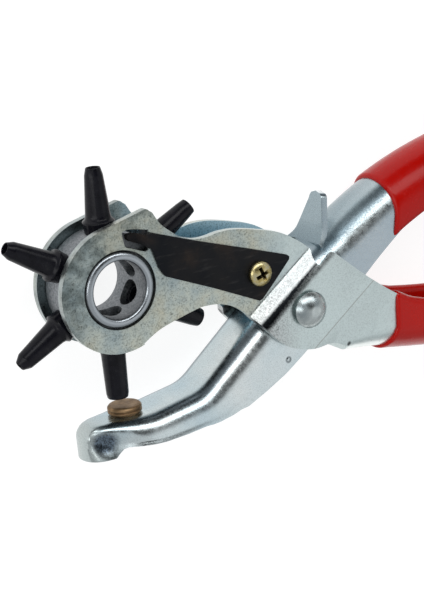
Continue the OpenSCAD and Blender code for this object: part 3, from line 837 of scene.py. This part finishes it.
def make_grip(name, stations, side, half, fold_at, depth_at, cut, node, body):
    """side is -1 where the channel lies right of its path; cut(u) moves the start along the path."""
    total = run_length(stations)
    verts = []
    for s, d in zip(stations, total):
        a = math.radians(s[2])
        ring = coat_ring(half, fold_at(s[0]), depth_at(s[0]), coat_thickness(d, total[-1] - d))
        for u, z in ring:
            shift = cut(-u) * max(0.0, 1 - d / 14)
            x, y, z = at_station(s, -side * u, z)
            verts.append((x + shift * math.cos(a), y + shift * math.sin(a), z))
    m = len(ring)
    last = len(verts) - m
    faces = [(i + j, i + (j + 1) % m, i + m + (j + 1) % m, i + m + j)
             for i in range(0, last, m) for j in range(m)]
    # Strips across the ring cover both ends half by half, all but a sliver at the skirt's tip, and one
    # more joins the halves
    h = m // 2
    for base in (0, last):
        for j in range((h - 3) // 2):
            strip = (j, j + 1, h - 2 - j, h - 1 - j)
            faces.append(tuple(base + v for v in strip))
            faces.append(tuple(base + m - 1 - v for v in strip))
        faces.append((base, base + h - 1, base + h, base + m - 1))
    finish(solid(name, verts, faces, "red_vinyl", 0.002), body, node, 50)


def grip_stations(start, path, first_x):
    """Stations of a handle from first_x on, closer together over the rolled start and the end."""
    st = follow(start, path, 1.5)
    kept = st[st[:, 0] > first_x]

    def more(s, distances):
        a = math.radians(s[2])
        return np.array([[s[0] + d * math.cos(a), s[1] + d * math.sin(a), s[2]] for d in distances])

    lead = more(kept[0], (0, 0.08, 0.2, 0.4, 0.65, 0.9))
    tail = more(kept[-1], (0, 0.3, 0.5, 0.7, 0.82, 0.88))
    return np.vstack([lead, kept[kept[:, 0] > lead[-1][0] + 0.4][:-1], tail])


def make_grips():
    def bulge(d):
        """The coat's start bows towards the handle's end between the web and the edge."""
        return math.sin(math.pi * min(d, 13) / 13)

    make_grip("upper_coat", grip_stations(LEVER_START, LEVER_PATH, 76.4), -1, LEVER_HALF,
              lambda x: LEVER_HALF - 0.05,
              lambda x: float(np.interp(x, [68, 78, 85], [13.6, 12.1, UP_DEPTH])),
              lambda d: -d * math.tan(math.radians(22)) + 1.2 * bulge(d), "upper_grip", "lever")
    make_grip("lower_coat", grip_stations(LOW_START, LOW_PATH, 73.2), 1, LOW_HALF,
              low_fold,
              lambda x: float(np.interp(x, [68.5, 73.6, 78.5, 85], [17.4, 14.3, 12.6, LOW_DEPTH])),
              lambda d: 1.4 * bulge(d) - 0.3, "lower_grip", "frame")


# ---- turned pieces -----------------------------------------------------------------


def make_tubes():
    """Six tubes round the wheel, the widest bore at the anvil and each next one 0.5 smaller."""
    for n in range(TUBES):
        bore = (4.5 - 0.5 * n) / 2
        neck = max(bore + 0.42, 2.15)
        cone = 1.7 if n else 1.0
        profile = [(3.08, SHANK_FOOT), (3.08, 12.45), (3.5, 12.45), (3.62, 13.6), (3.84, 14.85), (3.82, 15.2),
                   (3.5, 15.45), (3.14, 15.8), (2.95, 16.5), (2.88, 17.2), (neck, TIP_R - cone),
                   (bore + 0.2, TIP_R), (bore, TIP_R), (bore, SHANK_FOOT)]
        matrix = Matrix.Rotation(math.radians(60 * n - 90), 4, "Z") @ Matrix.Rotation(math.pi / 2, 4, "Y")
        ob = turned(f"tube_{n + 1}", rounded(profile, 0.2), matrix, "black_oxide", 64)
        finish(ob, "turret", f"punch_tube_{n + 1}", 50)


def make_anvil():
    """Grooved disc on the web, its stem riveted through the sheet."""
    top, r = 2.3, 4.1
    profile = [(0.0, -2.7), (2.3, -2.7), (2.7, -2.3), (2.7, -1.82), (1.8, -1.82), (1.8, 0.02), (3.6, 0.02),
               (3.7, 0.35), (r, 0.55), (r + 0.02, 0.95), (3.85, 1.1), (3.85, 1.22), (r + 0.02, 1.4),
               (r, top - 0.5), (3.75, top - 0.1), (3.1, top), (2.0, top - 0.02), (0.0, top - 0.05)]
    tilt = math.radians(LEVER_START[2])
    y = LEVER_START[1] + (ANVIL_X - LEVER_START[0]) * math.tan(tilt)
    matrix = (Matrix.Translation((ANVIL_X, y, 0)) @ Matrix.Rotation(tilt, 4, "Z")
              @ Matrix.Rotation(-math.pi / 2, 4, "X"))
    finish(turned("anvil_disc", rounded(profile, 0.14), matrix, "bronze"), "lever", "anvil", 40)


def make_rivet():
    """Domed head on a short neck, a small dimple in its top, peened tail at the back."""
    r, h, neck, dimple = 4.5, 2.4, 0.95, 0.14
    dome = (r * r + h * h) / (2 * h)
    seat = PLATE_OUT + 0.02
    top = seat + neck
    cap = []
    for k in range(15):
        a = math.asin((r - 0.05) / dome) * k / 14
        x, y = dome * math.sin(a), h - dome + dome * math.cos(a)
        cap.append((x, top + y - dimple * max(0.0, 1 - (x / 1.1) ** 2)))
    profile = [(0, -12.0), (2.9, -12.0), (3.4, -11.9), (3.9, -11.4), (4.0, -10.95), (3.95, -10.73),
               (2.7, -10.73), (2.7, seat), (3.7, seat), (3.7, top), (r - 0.15, top), (r, top + 0.1)]
    profile += cap[::-1]
    ob = turned("rivet", profile, Matrix.Translation((*PIVOT, 0)), "bright_steel")
    finish(ob, "frame", "pivot_rivet", 45)


def cross_cutter(seat):
    """A four-winged taper for the screw's recess."""
    bm = bmesh.new()
    rings = []
    for z, wide, reach in ((seat + 0.2, 0.34, 0.9), (seat + 2.2, 0.52, 2.2)):
        loop = []
        for q in range(4):
            turn = Matrix.Rotation(math.radians(90 * q + 20), 2)
            for p in ((reach, -wide), (reach, wide), (wide, wide)):
                x, y = turn @ Vector(p)
                loop.append(vertex(bm, x + SCREW[0], y + SCREW[1], z))
        rings.append(loop)
    low, high = rings
    for i in range(len(low)):
        bm.faces.new((low[i - 1], low[i], high[i], high[i - 1]))
    bm.faces.new(low[::-1])
    bm.faces.new(high)
    bmesh.ops.recalc_face_normals(bm, faces=bm.faces)
    return place("cutter", to_mesh("cutter", bm))


def make_screw():
    seat = CHEEK_OUT + 0.04 + LEAF
    r = 3.05
    head = [(r * math.cos(a), seat + 0.75 + 1.25 * math.sin(a) ** 0.9)
            for a in np.linspace(0, math.pi / 2, 10)]
    profile = [(0, 4.1), (1.3, 4.1), (1.5, 4.4), (1.5, seat), (r - 0.1, seat), (r, seat + 0.15)]
    profile += head[:-1] + [(0, seat + 2.0)]
    ob = turned("screw", profile, Matrix.Translation((*SCREW, 0)), "yellow_zinc", merge=0.002)
    cutter = cross_cutter(seat)
    drill(ob, cutter)
    bevel(ob, 0.07, 2, 40)
    baked(ob, cutter)
    finish(ob, "frame", "leaf_screw", 35)


def make_turret():
    """Cast drum with a rolled lip on each side and six radial holes."""
    half = [(6.78, 6.7), (6.95, 7.15), (7.4, 7.4), (8.0, 7.36), (8.55, 7.1), (LIP_R, 6.6), (LIP_R, 5.02),
            (12.6, 5.02), (13.0, 4.6)]
    profile = half + [(r, -z) for r, z in reversed(half)]
    ob = turned("drum", rounded(profile, 0.25), Matrix(), "cast_grey", 128)
    hole = [(0.001, -16), (3.1, -16), (3.1, -5), (3.1, 5), (3.1, 16), (0.001, 16)]
    drills = []
    for n in range(TUBES // 2):
        matrix = Matrix.Rotation(math.radians(60 * n + 30), 4, "Z") @ Matrix.Rotation(math.pi / 2, 4, "Y")
        drills.append(turned(f"drill_{n}", hole, matrix, "cast_grey", 48))
        drill(ob, drills[-1])
    bevel(ob, 0.15, 2, 50)
    baked(ob, *drills)
    finish(ob, "turret", "turret_wheel", 40)


# ---- springs -----------------------------------------------------------------------


def make_leaf():
    """Index leaf: flat trapezium, its tongue bent down through the slot."""
    base = CHEEK_OUT + 0.03 + LEAF
    outline = [(7.6, 11.4), (8.5, 11.85), (22, 6.8), (35.3, 2.1), (45.3, -1.5), (45.9, -2.0), (45.8, -2.7),
               (41, -7.4), (37.3, -10.8), (36.5, -11), (24, -4.9), (11.7, 0.7), (11.2, 1.3), (10.2, 3.0),
               (9.9, 4.2), (8.9, 7.7), (7.7, 8.4)]
    bm = bmesh.new()
    vs = [vertex(bm, x, y, base) for x, y in outline]
    bm.faces.new(vs)
    # Tongue rows run from the leaf's left edge into the slot, each (run, drop, narrowing)
    heading = Vector((math.cos(math.radians(161)), math.sin(math.radians(161))))
    a, b = Vector(outline[0]), Vector(outline[-1])
    rows = [[vs[0], vs[-1]]]
    for run, drop, narrow in ((0.5, 0.02, 0.02), (1.0, 0.15, 0.05), (1.45, 0.5, 0.08), (1.8, 1.0, 0.1),
                              (2.1, 1.5, 0.1), (2.5, 1.95, 0.12), (3.0, 2.15, 0.15), (3.7, 2.12, 0.25),
                              (4.2, 2.0, 0.55)):
        p, q = a + heading * run, b + heading * run
        mid = (p + q) / 2
        ends = p.lerp(mid, narrow), q.lerp(mid, narrow + 0.3 * min(1, run))
        rows.append([vertex(bm, *end, base - drop) for end in ends])
    for r, s in zip(rows, rows[1:]):
        bm.faces.new((r[0], r[1], s[1], s[0]))
    bmesh.ops.recalc_face_normals(bm, faces=bm.faces)
    if sum(f.normal.z for f in bm.faces) < 0:
        bmesh.ops.reverse_faces(bm, faces=bm.faces)
    ob = place("leaf", to_mesh("leaf", bm), "spring_black")
    thicken(ob, LEAF, 0.12, 2, angle=50)
    finish(ob, "frame", "index_leaf", 35)


def make_spring():
    """Torsion spring round the rivet, its legs lying along both handles."""
    wire, r, turns = 0.65, 3.55, 4
    pitch = 2 * wire + 0.03
    top, low = 36.0, -24.2

    def leg(angle, reach, side, z):
        """The end of a leg that leaves the coil's rim on one side."""
        a = math.radians(angle)
        return (reach * math.cos(a) - side * r * math.sin(a), reach * math.sin(a) + side * r * math.cos(a), z)

    start, end = math.radians(low - 90), math.radians(top + 90 - 360 * turns)
    pts = [leg(low, 24, -1, 1.5 * pitch)]
    for t in np.linspace(0, 1, 48 * turns + 1):
        a = start + (end - start) * t
        pts.append((r * math.cos(a), r * math.sin(a), (1.5 - 3 * t) * pitch))
    pts.append(leg(top, 22, 1, -1.5 * pitch))
    pts = [np.array((x + PIVOT[0], y + PIVOT[1], z)) for x, y, z in pts]
    fine = [pts[0]]
    for p, q in zip(pts, pts[1:]):
        steps = max(1, int(math.dist(p, q)))
        fine += [p + (q - p) * j / steps for j in range(1, steps + 1)]
    curve = bpy.data.curves.new("opening_coil", "CURVE")
    curve.dimensions = "3D"
    curve.bevel_depth = wire * MM
    curve.bevel_resolution = 5
    curve.use_fill_caps = True
    line = curve.splines.new("POLY")
    line.points.add(len(fine) - 1)
    for point, p in zip(line.points, fine):
        point.co = (*(p * MM), 1)
    shape = place("opening_coil", curve)
    dg = bpy.context.evaluated_depsgraph_get()
    mesh = bpy.data.meshes.new_from_object(shape.evaluated_get(dg))
    bpy.data.objects.remove(shape)
    ob = place("opening_coil", mesh, "spring_steel")
    smooth(ob, 32)
    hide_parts("opening_spring")
    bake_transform(ob)


# ---- camera, floor and light -----------------------------------------------------


def make_stage():
    bm = bmesh.new()
    bmesh.ops.create_circle(bm, cap_ends=True, radius=4.0, segments=96)
    floor = place("floor", to_mesh("floor", bm), "studio_floor")
    floor.location.z = FLOOR_Z * MM

    mid = Vector((0.03, -0.01, 0.0))
    for name, at, size, watts in (("strip", (0.08, 0.78, 0.68), (1.5, 0.42), 6.0),
                                  ("left", (-0.9, 0.15, 0.45), (0.35, 0.9), 2.5),
                                  ("front", (0.62, -0.4, 0.85), (0.8, 0.8), 0.55)):
        light = bpy.data.lights.new(name, "AREA")
        light.shape = "RECTANGLE"
        light.size, light.size_y = size
        light.energy = watts
        ob = place(name, light)
        ob.location = at
        ob.rotation_euler = (mid - Vector(at)).to_track_quat("-Z", "Y").to_euler()


def studio_sky():
    """Grey room with a dark corner and a dark patch of ceiling, which draw the bands on the metal."""
    world = bpy.data.worlds.new("studio")
    bpy.context.scene.world = world
    world.use_nodes = True
    t = world.node_tree

    def span(value, low, high, to_low, to_high, kind="LINEAR"):
        n = t.nodes.new("ShaderNodeMapRange")
        n.interpolation_type = kind
        t.links.new(value, n.inputs["Value"])
        for k, v in zip(("From Min", "From Max", "To Min", "To Max"), (low, high, to_low, to_high)):
            n.inputs[k].default_value = v
        return n.outputs["Result"]

    where = t.nodes.new("ShaderNodeTexCoord").outputs["Generated"]
    base = t.nodes.new("ShaderNodeSeparateXYZ")
    t.links.new(where, base.inputs[0])
    light = span(base.outputs["Z"], 0.1, 0.6, 0.5, 0.68)
    for aim, start, end, low in (((0.45, 0.87, 0.18), 0.86, 0.95, 0.12),
                                 ((0.08, 0.4, 0.91), 0.88, 0.965, 0.08)):
        near = t.nodes.new("ShaderNodeVectorMath")
        near.operation = "DOT_PRODUCT"
        t.links.new(where, near.inputs[0])
        near.inputs[1].default_value = Vector(aim).normalized()
        both = t.nodes.new("ShaderNodeMath")
        both.operation = "MULTIPLY"
        t.links.new(light, both.inputs[0])
        t.links.new(span(near.outputs["Value"], start, end, 1.0, low, "SMOOTHSTEP"), both.inputs[1])
        light = both.outputs[0]
    # Seen directly, above the floor's edge, the room is an even pale backdrop
    pale = t.nodes.new("ShaderNodeMix")
    t.links.new(t.nodes.new("ShaderNodeLightPath").outputs["Is Camera Ray"], pale.inputs["Factor"])
    t.links.new(light, pale.inputs["A"])
    pale.inputs["B"].default_value = 0.93
    shade = t.nodes["Background"]
    shade.inputs["Color"].default_value = (0.96, 0.98, 1, 1)
    t.links.new(pale.outputs["Result"], shade.inputs["Strength"])


def make_camera():
    """The viewpoint, solved from the wheel, tubes and pivot; angles are about the tool held upright."""
    az, el, roll, lean = (math.radians(v) for v in (-32.24, 13.83, -0.16, 5.76))
    # In millimetres: sensor width, focal length, the camera's distance and the view's offsets from the wheel
    sensor, lens, distance, aside, above = 36, 99.0036, 378.61, -24.4160, 3.6575
    back = Vector((math.sin(az) * math.cos(el), -math.cos(az) * math.cos(el), math.sin(el)))
    right = (-back).cross(Vector((0, 0, 1))).normalized()
    up = right.cross(-back)
    at = back * distance - right * aside - up * above
    turned_right = right * math.cos(roll) + up * math.sin(roll)
    turned_up = up * math.cos(roll) - right * math.sin(roll)
    lay = Matrix(((math.cos(lean), 0, math.sin(lean)), (-math.sin(lean), 0, math.cos(lean)), (0, -1, 0)))
    cam = bpy.data.cameras.new("camera")
    cam.sensor_width = sensor
    cam.lens = lens
    cam.clip_start, cam.clip_end = 0.01, 20
    ob = place("camera", cam)
    axes = Matrix([lay @ v for v in (turned_right, turned_up, back)]).transposed()
    ob.matrix_world = Matrix.Translation(lay @ at * MM) @ axes.to_4x4()
    bpy.context.scene.camera = ob


make_frame()
make_lever()
make_grips()
make_turret()
make_tubes()
make_anvil()
make_rivet()
make_screw()
make_leaf()
make_spring()
make_stage()
studio_sky()
make_camera()

bpy.context.scene.view_settings.view_transform = "Standard"
